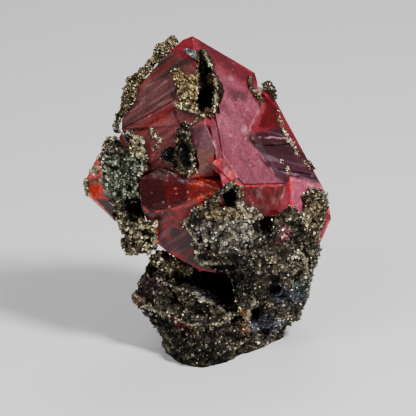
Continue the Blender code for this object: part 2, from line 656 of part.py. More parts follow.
def main():
    for obj in list(bpy.data.objects):
        bpy.data.objects.remove(obj)
    parts = collection("specimen", False)
    cutters = collection("cutters", True)
    calcite = material("raspberry_calcite", (0.42, 0.06, 0.08), 0.28, transmission=0.3)
    rock = material("sulphide_rock", (0.12, 0.11, 0.09), 0.6, metallic=0.3)
    pyrite = material("pyrite_grains", (0.3, 0.26, 0.17), 0.4, metallic=0.6)

    main_body = main_crystal(parts, cutters, calcite)
    left = crystal("side_crystal_left", LEFT_CRYSTAL, parts, calcite)
    right = crystal("side_crystal_right", RIGHT_CRYSTAL, parts, calcite)
    crystals = [swollen(main_body, cutters)]
    boolean(right, "DIFFERENCE", crystals[0])
    right.data = applied(right)
    biggest_body(right)
    crystals += [swollen(left, cutters), swollen(right, cutters)]

    left_mass = grown_on(
        "left_sulphide_mass", LEFT_MASS, crystals, [main_body, left], 1100, 3, parts, cutters, rock,
        pits=LEFT_PITS, rims=LEFT_RIMS,
    )
    beside = [swollen(left_mass, cutters)]
    cluster = grown_on(
        "sulphide_cluster", CLUSTER, crystals + beside, [main_body, left_mass], 300, 5, parts, cutters, rock
    )
    beside.append(swollen(cluster, cutters))
    below = bmesh.new()
    bmesh.ops.create_cube(below, size=STOCK, matrix=Matrix.Translation((0, 0, -STOCK / 2)))
    floor = new_object("floor_cut", below, cutters)
    grown_on(
        "sulphide_matrix", ROCK, crystals + beside, [floor, main_body, left_mass, cluster, right], 4300, 7,
        parts, cutters, rock, 0.75, pits=ROCK_PITS, rims=ROCK_RIMS,
    )
    grown_on(
        "pyrite_crust_summit", SUMMIT_BED + SUMMIT_RIM, crystals[:1], [main_body], 1000, 11, parts, cutters,
        pyrite, 0.4, hollow=joined(SUMMIT_PIT),
    )
    grown_on(
        "pyrite_crust_middle", MIDDLE_BED + MIDDLE_RIM, crystals[:1], [main_body], 600, 13, parts, cutters,
        pyrite, 0.4, hollow=MIDDLE_PIT,
    )
    edge_crusts = {"pyrite_crust_ridge": RIDGE_CRUST, **SHOULDER_CRUSTS}
    for seed, (name, strings) in enumerate(edge_crusts.items(), start=17):
        triangles = 60 + 50 * len(joined(strings)) if len(strings) == 1 else 360
        grown_on(
            name, strings, crystals[:1] + beside[:1], [main_body, left_mass], triangles, seed, parts,
            cutters, pyrite, 0.35,
        )
    stand_over_origin(parts.objects)


main()
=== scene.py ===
"""Looks of the raspberry calcite: its faces, sulphide grains, light and camera."""

import json
import math

import bmesh
import bpy
import numpy as np
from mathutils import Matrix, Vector

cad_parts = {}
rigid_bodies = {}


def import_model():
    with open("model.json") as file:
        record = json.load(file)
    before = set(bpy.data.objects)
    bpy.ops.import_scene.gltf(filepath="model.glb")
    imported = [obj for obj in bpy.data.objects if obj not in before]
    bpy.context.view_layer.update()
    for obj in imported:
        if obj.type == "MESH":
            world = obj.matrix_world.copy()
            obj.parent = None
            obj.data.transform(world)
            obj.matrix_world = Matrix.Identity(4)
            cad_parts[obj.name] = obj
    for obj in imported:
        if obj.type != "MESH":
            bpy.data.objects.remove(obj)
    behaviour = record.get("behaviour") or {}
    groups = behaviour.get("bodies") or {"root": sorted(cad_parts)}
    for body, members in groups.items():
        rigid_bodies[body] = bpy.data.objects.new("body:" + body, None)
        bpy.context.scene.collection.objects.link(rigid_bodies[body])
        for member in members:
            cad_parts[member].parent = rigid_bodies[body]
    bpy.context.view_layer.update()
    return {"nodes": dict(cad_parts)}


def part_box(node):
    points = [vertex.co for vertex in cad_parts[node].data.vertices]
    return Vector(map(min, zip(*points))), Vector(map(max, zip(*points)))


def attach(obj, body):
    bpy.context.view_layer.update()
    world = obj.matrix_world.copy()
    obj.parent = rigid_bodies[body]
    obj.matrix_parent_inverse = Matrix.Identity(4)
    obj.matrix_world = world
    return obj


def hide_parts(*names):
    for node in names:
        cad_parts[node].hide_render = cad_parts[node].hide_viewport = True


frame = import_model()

MM = 0.001

# The photo was taken from the front, looking down at this angle. Across, up and away are mm as seen
# from there, with their zero at the front corner of the rock's base.
SIGHT_TILT = math.radians(18)
SIGHT_RISE = math.sin(SIGHT_TILT)
SIGHT_LEVEL = math.cos(SIGHT_TILT)
LENS_SENSOR = 36.0
PICTURE_WIDTH = 104.0  # what the photo's frame spans at the specimen
PICTURE_UP = 40.75  # the middle of the photo's frame
PICTURE_AWAY = 20.0  # the depth at which the frame is that wide
CAMERA_DISTANCE = 900.0

# The left crystal's lowest corner of its box, by which the measured places and the frame are matched
LEFT_CRYSTAL_ACROSS = -31.1
LEFT_CRYSTAL_AWAY = 19.0
left_low, left_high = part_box("side_crystal_left")
ORIGIN = np.array((left_low[0] / MM - LEFT_CRYSTAL_ACROSS, left_low[1] / MM - LEFT_CRYSTAL_AWAY, 0.0))


def seen(across, up, away):
    """The place, in metres, of a point seen that far across and up, at that distance away."""
    place = np.array((across, away, (up - away * SIGHT_RISE) / SIGHT_LEVEL)) + ORIGIN
    return Vector(place * MM)


def as_seen(points):
    """How far across and up points are seen, in mm."""
    local = points / MM - ORIGIN
    return np.stack((local[:, 0], local[:, 2] * SIGHT_LEVEL + local[:, 1] * SIGHT_RISE), axis=1)


def linear(red, green, blue):
    """A colour given as a screen shows it, from 0 to 255, as light."""
    share = np.array((red, green, blue)) / 255.0
    return np.where(share <= 0.04045, share / 12.92, ((share + 0.055) / 1.055) ** 2.4)


def smooth_step(low, high, value):
    share = np.clip((value - low) / (high - low), 0.0, 1.0)
    return share * share * (3.0 - 2.0 * share)


# Arrays in and out of meshes


def points_of(mesh):
    flat = np.empty(len(mesh.vertices) * 3)
    mesh.vertices.foreach_get("co", flat)
    return flat.reshape(-1, 3)


def normals_of(mesh):
    flat = np.empty(len(mesh.vertices) * 3)
    mesh.vertex_normals.foreach_get("vector", flat)
    return flat.reshape(-1, 3)


def move_points(mesh, points):
    mesh.vertices.foreach_set("co", points.reshape(-1))
    mesh.update()


def corners_of(mesh):
    """Each triangle's three vertex numbers."""
    mesh.calc_loop_triangles()
    flat = np.empty(len(mesh.loop_triangles) * 3, dtype=np.int32)
    mesh.loop_triangles.foreach_get("vertices", flat)
    return flat.reshape(-1, 3)


def paint(mesh, name, colours):
    """Store a colour, or a grey value, at each vertex."""
    if colours.ndim == 1:
        colours = np.repeat(colours[:, None], 3, axis=1)
    layer = mesh.color_attributes.get(name) or mesh.color_attributes.new(name, "FLOAT_COLOR", "POINT")
    full = np.ones((len(colours), 4))
    full[:, :3] = colours
    layer.data.foreach_set("color", full.reshape(-1))


# Noise for whole arrays: value noise on a hashed lattice


def lattice(cells, seed):
    x, y, z = (cells[:, i].astype(np.int64) for i in range(3))
    mixed = (x * 374761393 + y * 668265263 + z * 2147483647 + seed * 1274126177) & 0xFFFFFFFF
    mixed = ((mixed ^ (mixed >> 13)) * 1274126177) & 0xFFFFFFFF
    return ((mixed ^ (mixed >> 16)) & 0xFFFF) / 65535.0


def cloud(points, size, seed):
    """Smooth noise from -1 to 1 with blobs about size mm across."""
    place = points / (size * MM)
    base = np.floor(place)
    share = place - base
    share = share * share * (3.0 - 2.0 * share)
    total = np.zeros(len(points))
    for corner in range(8):
        step = np.array((corner & 1, corner >> 1 & 1, corner >> 2 & 1))
        weight = np.prod(np.where(step, share, 1.0 - share), axis=1)
        total += weight * lattice(base + step, seed)
    return total * 2.0 - 1.0


def layered(points, size, seed, octaves=3):
    """Clouds at several sizes, each half as large and strong as the one before."""
    total = sum(cloud(points, size / 2**i, seed + i) / 2**i for i in range(octaves))
    return total / (2.0 - 2.0 ** (1 - octaves))


def cells(points, size, seed):
    """How far points are from the two nearest of scattered centres, in sizes, and the nearest's number."""
    place = points / (size * MM)
    base = np.floor(place)
    nearest = np.full(len(points), 9.0)
    second = np.full(len(points), 9.0)
    number = np.zeros(len(points))
    for step in np.ndindex(3, 3, 3):
        cell = base + np.array(step) - 1.0
        centre = cell + np.stack([lattice(cell, seed + i) for i in range(3)], axis=1)
        gap = np.linalg.norm(place - centre, axis=1)
        closer = gap < nearest
        second = np.where(closer, nearest, np.minimum(second, gap))
        nearest = np.where(closer, gap, nearest)
        number = np.where(closer, lattice(cell, seed + 3), number)
    return nearest, second, number


# Meshes made from the frame's solids


def copy_of(node, name):
    """A new mesh object with a node's form, which will stand for it."""
    source = frame["nodes"][node]
    mesh = bpy.data.meshes.new(name)
    bm = bmesh.new()
    bm.from_mesh(source.data)
    bm.transform(source.matrix_world)
    bmesh.ops.remove_doubles(bm, verts=bm.verts[:], dist=1e-6)
    bmesh.ops.triangulate(bm, faces=bm.faces[:])
    bm.to_mesh(mesh)
    bm.free()
    piece = bpy.data.objects.new(name, mesh)
    bpy.context.scene.collection.objects.link(piece)
    return piece


FRONT_SLOPE = -0.15  # a face whose normal points this far toward the front counts as seen


def refined(mesh, front_edge, back_edge, rounds=9):
    """Split a mesh's triangles until no edge is too long, in mm, with smaller ones on its front."""
    bm = bmesh.new()
    bm.from_mesh(mesh)
    for _ in range(rounds):
        long_edges = []
        for one in bm.edges:
            faces_front = min(face.normal.y for face in one.link_faces) < FRONT_SLOPE
            limit = front_edge if faces_front else back_edge
            if one.calc_length() > limit * MM:
                long_edges.append(one)
        if not long_edges:
            break
        bmesh.ops.subdivide_edges(bm, edges=long_edges, cuts=1)
        bmesh.ops.triangulate(bm, faces=[face for face in bm.faces if len(face.verts) > 3])
    bm.to_mesh(mesh)
    bm.free()


def fused(piece, voxel):
    """Give a piece one even skin of small faces."""
    skin = piece.modifiers.new("fuse", "REMESH")
    skin.mode = "VOXEL"
    skin.voxel_size = voxel * MM
    bpy.context.view_layer.update()
    seen_now = piece.evaluated_get(bpy.context.evaluated_depsgraph_get())
    mesh = bpy.data.meshes.new_from_object(seen_now)
    piece.modifiers.clear()
    piece.data = mesh


# Grains


OCTAHEDRON = np.array(((1, 0, 0), (-1, 0, 0), (0, 1, 0), (0, -1, 0), (0, 0, 1), (0, 0, -1)), dtype=float)
OCTAHEDRON_FACES = np.array(
    ((0, 2, 4), (2, 1, 4), (1, 3, 4), (3, 0, 4), (2, 0, 5), (1, 2, 5), (3, 1, 5), (0, 3, 5))
)
CUBE_HALF = 0.72  # of a cube's edge, where an octahedron reaches 1
CUBE = np.array([(x, y, z) for x in (-1, 1) for y in (-1, 1) for z in (-1, 1)], dtype=float) * CUBE_HALF
CUBE_SHARE = 0.45  # of the grains
CUBE_FACES = np.array(
    (
        (0, 1, 3), (0, 3, 2), (4, 6, 7), (4, 7, 5), (0, 4, 5), (0, 5, 1),
        (2, 3, 7), (2, 7, 6), (0, 2, 6), (0, 6, 4), (1, 5, 7), (1, 7, 3),
    )
)


def turns(count, rng):
    """Random rotation matrices."""
    q = rng.normal(size=(count, 4))
    q /= np.linalg.norm(q, axis=1)[:, None]
    w, x, y, z = q.T
    rows = (
        (1 - 2 * (y * y + z * z), 2 * (x * y - z * w), 2 * (x * z + y * w)),
        (2 * (x * y + z * w), 1 - 2 * (x * x + z * z), 2 * (y * z - x * w)),
        (2 * (x * z - y * w), 2 * (y * z + x * w), 1 - 2 * (x * x + y * y)),
    )
    return np.array(rows).transpose(2, 0, 1)


def spots_on(mesh, count, rng):
    """Random places on a mesh, spread by area, with the normal and a vertex of the face there."""
    points = points_of(mesh)
    corners = corners_of(mesh)
    a, b, c = (points[corners[:, i]] for i in range(3))
    cross = np.cross(b - a, c - a)
    area = np.linalg.norm(cross, axis=1)
    chosen = rng.choice(len(corners), size=count, p=area / area.sum())
    u, v = rng.random(count), rng.random(count)
    flip = u + v > 1
    u, v = np.where(flip, 1 - u, u), np.where(flip, 1 - v, v)
    places = a[chosen] + u[:, None] * (b - a)[chosen] + v[:, None] * (c - a)[chosen]
    return places, cross[chosen] / area[chosen][:, None], corners[chosen, 0]


def grains(places, sizes, colours, rng):
    """Cubes and octahedra at places: their points, faces and colours."""
    all_points, all_faces, all_colours = [], [], []
    start = 0
    cubic = rng.random(len(places)) < CUBE_SHARE
    for shape, faces, mine in ((CUBE, CUBE_FACES, cubic), (OCTAHEDRON, OCTAHEDRON_FACES, ~cubic)):
        count = int(mine.sum())
        stretch = rng.uniform(0.75, 1.25, size=(count, 1, 3))
        body = (shape[None] * stretch) @ turns(count, rng).transpose(0, 2, 1)
        body = body * (sizes[mine][:, None, None] * MM / 2) + places[mine][:, None, :]
        all_points.append(body.reshape(-1, 3))
        shift = start + np.arange(count)[:, None, None] * len(shape)
        all_faces.append((faces[None] + shift).reshape(-1, 3))
        all_colours.append(np.repeat(colours[mine], len(shape), axis=0))
        start += count * len(shape)
    return np.concatenate(all_points), np.concatenate(all_faces), np.concatenate(all_colours)


def mesh_with_grains(name, points, faces, skin_colours, grain_parts):
    """One mesh of a skin and its grains, coloured by vertex."""
    grain_points, grain_faces, grain_colours = grain_parts
    mesh = bpy.data.meshes.new(name)
    every = np.concatenate((points, grain_points))
    mesh.from_pydata(every.tolist(), [], np.concatenate((faces, grain_faces + len(points))).tolist())
    paint(mesh, "tint", np.concatenate((skin_colours, grain_colours)))
    is_grain = np.concatenate((np.zeros(len(points)), np.ones(len(grain_points))))
    paint(mesh, "grain", is_grain)
    smooth = np.zeros(len(mesh.polygons), dtype=bool)
    smooth[: len(faces)] = True
    mesh.polygons.foreach_set("use_smooth", smooth)
    return mesh


# Painting by place


def inside(spots, outline, softness):
    """How far places as seen lie inside an outline: 1 well inside, 0 outside, soft across its edge."""
    corners = np.array(outline, dtype=float)
    ahead = np.roll(corners, -1, axis=0)
    nearest = np.full(len(spots), 1e9)
    crossings = np.zeros(len(spots), dtype=bool)
    for start, end in zip(corners, ahead):
        run = end - start
        share = np.clip(((spots - start) @ run) / (run @ run), 0.0, 1.0)
        gap = np.linalg.norm(spots - start - share[:, None] * run, axis=1)
        nearest = np.minimum(nearest, gap)
        spans = (start[1] > spots[:, 1]) != (end[1] > spots[:, 1])
        rise = run[1] if abs(run[1]) > 1e-9 else 1e-9
        crossings ^= spans & (spots[:, 0] < run[0] * (spots[:, 1] - start[1]) / rise + start[0])
    signed = np.where(crossings, nearest, -nearest)
    return smooth_step(-softness, softness, signed)


def near(spots, line, width):
    """How near places as seen lie to a line of points: 1 on it, 0 beyond its width in mm."""
    knots = np.array(line, dtype=float)
    gap = np.full(len(spots), 1e9)
    for start, end in zip(knots, knots[1:]):
        run = end - start
        share = np.clip(((spots - start) @ run) / (run @ run), 0.0, 1.0)
        gap = np.minimum(gap, np.linalg.norm(spots - start - share[:, None] * run, axis=1))
    return smooth_step(width, 0.35 * width, gap)


# Areas of the main crystal's front: outline as seen, colour, clearness, softness of the border in mm
FACE_AREAS = {
    "bright_top": (
        [(-3.5, 85), (13, 76), (13, 71.5), (8, 72.5), (2.5, 76.5), (-1.8, 80.5)],
        (80, 4, 20), 0.2, 1.2,
    ),
    "bright_middle": (
        [(2, 76), (8, 72), (12.5, 70), (13.5, 65), (10.5, 61), (9.3, 58), (1.5, 60.5), (2.2, 70)],
        (116, 51, 66), 0.1, 1.5,
    ),
    "smudge": ([(5.5, 70.5), (10, 70), (10, 68), (6, 67)], (69, 34, 38), 0.1, 1.0),
    "striated": (
        [(-7, 80), (-12, 78.5), (-18, 72), (-22.5, 62.5), (-22, 60.3), (-9, 66), (-2, 62), (-1, 72)],
        (90, 50, 50), 0.2, 0.5,
    ),
    "striated_shade": ([(-13, 78), (-6.5, 78.8), (-6.5, 74.6), (-14, 73.4)], (52, 27, 27), 0.2, 1.5),
    "summit_red": ([(-9, 81.5), (-3.5, 85), (-1.8, 80), (-3.5, 77), (-7, 78.3)], (128, 25, 38), 0.3, 0.6),
    "violet": (
        [(-22, 60), (-8.4, 65.2), (-1, 62), (-5, 48), (-12, 50.6), (-18, 48)],
        (118, 58, 60), 0.25, 0.3,
    ),
    # Painted glow of light through a thin strip of the calcite, brighter than its own red
    "glow_strip": ([(-19, 60.3), (-8, 65.6), (-8.3, 64.3), (-18.6, 59.2)], (112, 34, 23), 0.4, 0.2),
    "lilac": ([(-6, 60), (-0.5, 61), (2.4, 55), (-4, 54.5)], (83, 50, 56), 0.1, 0.3),
    "thin_zone": ([(-4.5, 55.3), (2.3, 54.7), (1.5, 49.5), (-2.4, 49.8)], (94, 57, 49), 0.25, 0.4),
    "broad": (
        [(0.5, 61), (9.3, 58.2), (12, 55), (19.2, 46.4), (8, 46.3), (3.4, 52.2)],
        (109, 43, 60), 0.1, 0.4,
    ),
    "corner": ([(1.2, 51.8), (3.4, 52.4), (8, 46.4), (3.6, 45.2), (1.4, 47.6)], (152, 40, 53), 0.25, 0.3),
    "skirt": ([(3.6, 45.4), (8, 46.4), (19.2, 46.2), (17, 38), (9, 38), (3, 42)], (83, 4, 9), 0.3, 0.3),
    "dark": (
        [(9.3, 58.6), (18.4, 61), (22, 57), (27, 49), (29.5, 45.2), (20.6, 48.2), (19.2, 46.2), (12, 55)],
        (42, 10, 18), 0.25, 0.4,
    ),
    "dusky": ([(13, 53), (22, 54), (25.5, 50.5), (19, 48), (16, 50)], (59, 22, 34), 0.25, 1.2),
    "clear_edge": ([(12.5, 60.8), (15, 68), (17.6, 65.5), (18.8, 60.6)], (118, 16, 22), 0.7, 0.4),
    "rose": ([(20.6, 48.6), (31, 46), (31, 41), (26, 36), (20.5, 38)], (158, 70, 92), 0.2, 0.4),
    "window_left": (
        [(-18, 49), (-12, 51), (-9.6, 48), (-9.5, 39), (-14.4, 38.4), (-17.6, 40.6)],
        (63, 1, 2), 0.6, 0.5,
    ),
    "window_middle": ([(-11, 51), (-5, 49.5), (-4, 42), (-8, 39.5), (-10.4, 40.4)], (106, 2, 1), 0.6, 0.8),
    "window_right": ([(-6, 50), (1.2, 48.6), (3.6, 45.2), (-2.7, 41), (-5, 42)], (132, 19, 4), 0.55, 0.7),
    # Near black: painted shade inside the brow hole and the summit hole
    "brow_hole_shade": ([(3.6, 45.6), (7.0, 45.6), (7.6, 42.6), (7.0, 40.8), (3.3, 41)], (5, 2, 2), 0.0, 0.3),
    "summit_hole_shade": ([(-2.6, 78.5), (1.0, 75.4), (2.0, 71), (1.8, 64.8), (-2.6, 65)], (12, 4, 4), 0.0, 0.3),
    "dull": ([(-13, 40), (-5, 41.2), (3, 42), (6, 30), (1.8, 23.5), (-14, 31)], (46, 3, 6), 0.2, 0.25),
}
BACK_COLOUR = (112, 22, 34)
BACK_CLEARNESS = 0.22

# Cracks, veins, worn edges and painted glow of the main crystal: points as seen, colour, width in mm
# Bright red and orange lines on thin edges and breaks: painted glow of light through the calcite, brighter
# than its own red.
# Dark lines: cracks and veins.
# Pale pink lines along edges: partly wear, partly a painted highlight on the edge.
FACE_LINES = [
    ([(2.0, 54.8), (0.8, 52.5), (3.2, 52.4), (0.8, 49.0)], (196, 16, 24), 0.4),
    ([(3.2, 51.0), (6.5, 49.0), (5.2, 47.8), (8.0, 46.2), (19.0, 46.4)], (186, 16, 30), 0.34),
    ([(3.4, 54.4), (5.0, 52.0), (8.6, 46.6)], (172, 84, 98), 0.26),
    ([(10.0, 52.8), (13.5, 48.2)], (96, 34, 44), 0.4),
    ([(-2.0, 83.2), (12.4, 74.2), (12.8, 70.0)], (140, 14, 36), 0.8),
    ([(13.4, 66.5), (10.5, 60.8), (9.3, 57.9)], (170, 84, 100), 0.28),
    ([(9.3, 57.9), (15.0, 58.3), (20.5, 58.0)], (160, 108, 122), 0.28),
    ([(11.4, 55.6), (21.8, 56.0)], (30, 10, 16), 0.5),
    ([(12.0, 54.8), (19.2, 46.4)], (172, 88, 104), 0.26),
    ([(17.5, 49.8), (26.4, 48.6)], (128, 84, 96), 0.3),
    ([(20.6, 48.2), (29.2, 45.2)], (190, 100, 112), 0.4),
    ([(20.6, 48.0), (20.8, 38.8), (24.0, 37.6)], (206, 14, 20), 0.5),
    ([(-14.5, 63.5), (-10.0, 66.2), (-7.4, 67.0)], (150, 112, 112), 0.4),
    ([(-12.5, 31.9), (-9.5, 29.5), (-5.2, 27.2), (-2.0, 25.4), (1.8, 24.8)], (170, 10, 12), 0.6),
    ([(-12.6, 37.6), (-12.4, 32.0)], (150, 12, 14), 0.5),
    ([(-16.5, 41.5), (-14.4, 39.6), (-8.2, 40.6), (-2.7, 42.0), (3.0, 44.8)], (170, 40, 46), 0.35),
    ([(-16.8, 48.2), (-12.0, 50.8), (-5.0, 48.6), (-2.8, 49.8), (1.2, 47.8), (3.4, 45.4)], (26, 6, 8), 0.45),
    ([(-5.8, 43.4), (-2.0, 45.6)], (44, 4, 4), 0.5),
    # Orange lines in the broken window: painted glow of light through it
    ([(-4.4, 46.8), (-1.4, 46.4)], (206, 70, 24), 0.3),
    ([(-2.4, 43.0), (2.6, 45.0)], (226, 70, 22), 0.45),
    ([(-8.4, 65.2), (-6.2, 58.0), (-4.6, 48.4)], (60, 20, 24), 0.5),
    ([(-0.8, 61.4), (2.2, 55.0), (1.2, 49.0)], (150, 84, 96), 0.28),
]
SIDE_AREAS = {
    "upper": ([(-33, 56), (-24, 57), (-22, 50), (-31, 47.5)], (220, 98, 94), 0.1, 0.6),
    "olive": ([(-30, 47.5), (-26, 47.5), (-26, 45.5), (-30, 45.5)], (121, 97, 69), 0.1, 0.5),
    # Painted glow of light through the left crystal's thin lower part, over its own orange-red
    "orange_glow": ([(-29.5, 46.5), (-24.8, 46.5), (-24.8, 42.6), (-29.5, 43)], (236, 44, 10), 0.35, 0.5),
    "sliver": ([(-28.5, 43), (-24, 43), (-22, 37), (-24, 37)], (61, 2, 2), 0.5, 0.4),
}
SIDE_LINES = [
    # Painted glow along the left crystal's lower edge
    ([(-31.0, 46.0), (-28.6, 43.0), (-24.0, 38.4)], (230, 90, 60), 0.5),
    ([(-29.4, 51.4), (-26.6, 51.0)], (190, 176, 140), 0.5),
    ([(30.4, 40.4), (30.8, 38.0), (28.6, 32.2)], (200, 60, 60), 0.6),
]

# Pyrite that is sprinkled along lines on the crystals: points as seen, half its width in mm
FACE_CRUSTS = [
    ([(17.4, 64.6), (18.6, 61.4), (19.8, 58.6), (21.4, 56.0), (22.6, 54.2)], 0.8),
    ([(24.0, 52.8), (25.6, 50.6)], 0.5),
    ([(18.4, 52.0), (20.2, 49.4)], 0.7),
    ([(-12.6, 78.6), (-15.2, 76.2), (-17.8, 73.6)], 0.6),
    ([(-14.2, 59.6), (-12.2, 57.6), (-13.2, 55.2)], 1.1),
    ([(-11.2, 53.4), (-10.0, 52.4)], 0.6),
    ([(1.2, 69.6), (2.4, 67.4), (2.0, 65.4)], 0.8),
    ([(-4.2, 61.2), (-2.6, 62.4)], 0.5),
    ([(-3.4, 52.0), (-3.0, 49.6)], 0.4),
]
SIDE_CRUSTS = [
    ([(-29.4, 54.6), (-27.2, 53.4)], 0.8),
    ([(-30.2, 51.0), (-28.4, 49.8)], 0.9),
    ([(-30.8, 47.4), (-30.0, 44.4)], 0.6),
    ([(30.4, 41.0), (31.0, 38.8)], 0.5),
]

STREAK_PACE = 0.09  # of the noise along a streak, where it is 1 across it
STREAK_RISE = math.radians(33)  # of the striations on the left faces
LEDGE_FALL = math.radians(-12)  # of the ridges on the dark face
SATIN_RISE = math.radians(-58)  # of the faint lines on the bright and broad faces


def streaks(spots, angle, size, seed):
    """Noise drawn out along a direction, as seen."""
    along = spots[:, 0] * math.cos(angle) + spots[:, 1] * math.sin(angle)
    across = -spots[:, 0] * math.sin(angle) + spots[:, 1] * math.cos(angle)
    stretched = np.stack((along * STREAK_PACE, across, np.zeros(len(spots))), axis=1) * MM
    return layered(stretched, size, seed, 4)


def from_front(normals):
    """1 on what faces the front, 0 on the back."""
    return smooth_step(-0.1, 0.15, -normals[:, 1] + 0.3 * normals[:, 2])


def crystal_finish(piece, areas, lines):
    """Relief and paint for a crystal that was copied from its solid."""
    mesh = piece.data
    points, normals = points_of(mesh), normals_of(mesh)
    spots = as_seen(points)
    facing = from_front(normals)
    colour = np.repeat(linear(*BACK_COLOUR)[None], len(points), axis=0)
    clear = np.full(len(points), BACK_CLEARNESS)
    share = {}
    wander = np.stack((layered(points, 2.4, 5, 4), layered(points, 2.4, 9, 4)), axis=1) * 0.55
    for name, (outline, tone, clearness, softness) in areas.items():
        here = inside(spots + wander, outline, softness) * facing
        share[name] = here
        colour += (linear(*tone) - colour) * here[:, None]
        clear += (clearness - clear) * here
    left = share.get("striated", 0) + share.get("violet", 0) * 0.7
    ridged = share.get("dark", 0)
    window = share.get("window_left", 0) + share.get("window_middle", 0) + share.get("window_right", 0)
    dull = share.get("dull", 0)
    satin = share.get("bright_middle", 0) + share.get("bright_top", 0) + share.get("broad", 0)
    torn = share.get("skirt", 0) + share.get("corner", 0) + share.get("rose", 0) * 0.5
    behind = 1.0 - facing
    steps = layered(points * np.array((1.0, 1.0, 0.25)), 2.6, 23, 4)
    fibres = streaks(spots, STREAK_RISE, 1.0, 21)
    ledges = streaks(spots, LEDGE_FALL, 1.6, 31)
    sheen = streaks(spots, SATIN_RISE, 1.6, 61)
    rough = layered(points, 1.4, 41)
    chips = layered(points, 2.2, 43, 4)
    relief = 0.22 * fibres * left + 0.22 * ledges * ridged + 0.04 * rough
    relief = relief + 0.3 * chips * torn + 0.1 * chips * window + 0.06 * sheen * satin + 0.1 * steps * behind
    move_points(mesh, points + normals * ((relief - 0.1 * torn) * MM)[:, None])

    frost = layered(points, 0.7, 45, 2)
    tone = 1.0 + 0.3 * layered(points, 5.0, 51, 4) + 0.2 * rough + 0.22 * frost
    tone = tone + 0.9 * fibres * left + 1.0 * ledges * ridged + 0.8 * chips * torn + 0.4 * sheen * satin
    tone = tone + 0.9 * chips * window + (0.8 * fibres + 0.6 * chips) * dull
    tone = tone + 0.7 * steps * behind
    colour = colour * np.clip(tone, 0.2, 1.9)[:, None]
    stains = (
        (smooth_step(0.2, 0.5, fibres) * left, (120, 14, 12), 0.6),
        (smooth_step(0.25, 0.55, streaks(spots, STREAK_RISE, 0.6, 27)) * left, (156, 118, 118), 0.5),
        (smooth_step(0.5, 0.66, streaks(spots, STREAK_RISE * 0.6, 0.5, 71)) * window, (206, 110, 96), 0.5),
        (smooth_step(0.1, 0.45, streaks(spots, LEDGE_FALL, 0.8, 33)) * ridged, (120, 90, 110), 0.4),
        (smooth_step(0.1, 0.45, streaks(spots, LEDGE_FALL, 1.0, 35)) * ridged, (22, 6, 14), 0.6),
        (smooth_step(0.25, 0.6, layered(points, 3.6, 75, 4)) * satin, (196, 150, 158), 0.4),
        (smooth_step(0.2, 0.6, layered(points, 6.0, 77, 4)) * satin, (110, 22, 44), 0.45),
        (smooth_step(0.0, 0.4, layered(points, 3.2, 79, 4)) * dull, (150, 8, 16), 0.5),
        (smooth_step(0.0, 0.5, layered(points, 9.0, 83, 4)) * behind, (158, 60, 84), 0.5),
        (smooth_step(0.2, 0.5, steps) * behind, (180, 104, 120), 0.35),
        (smooth_step(0.2, 0.6, streaks(spots, STREAK_RISE, 0.8, 81)) * dull, (126, 70, 78), 0.45),
    )
    for here, stain, strength in stains:
        colour += (linear(*stain) - colour) * (strength * here)[:, None]

    gap, beyond, _ = cells(points + np.stack((rough, chips, frost), axis=1) * 0.5 * MM, 5.0, 91)
    seams = smooth_step(0.035, 0.0, beyond - gap) * smooth_step(-0.1, 0.3, layered(points, 6.0, 93))
    colour += (linear(120, 8, 22) - colour) * (0.6 * seams * (1.0 - window))[:, None]
    gap, _, number = cells(points, 1.1, 95)
    flecks = smooth_step(0.3, 0.12, gap) * (number < 0.22) * (window + 0.5 * torn + 0.3 * satin)
    colour += (linear(226, 168, 164) - colour) * np.clip(0.6 * flecks, 0, 1)[:, None]

    fine_shake = np.stack((layered(points, 0.9, 101, 2), layered(points, 0.9, 103, 2)), axis=1)
    shake = wander * 0.6 + fine_shake * 0.3
    broken = smooth_step(-0.35, 0.2, layered(points, 1.7, 105))
    # Paint the lines: cracks, worn edges with a painted highlight, and painted glow along thin edges and
    # breaks
    for line, line_tone, width in lines:
        here = near(spots + shake, line, width) * facing * broken
        colour += (linear(*line_tone) - colour) * here[:, None]
        clear = clear * (1.0 - 0.6 * here)
    paint(mesh, "tint", np.clip(colour, 0, 1))
    paint(mesh, "clear", np.clip(clear + 0.06 * rough, 0, 0.9))
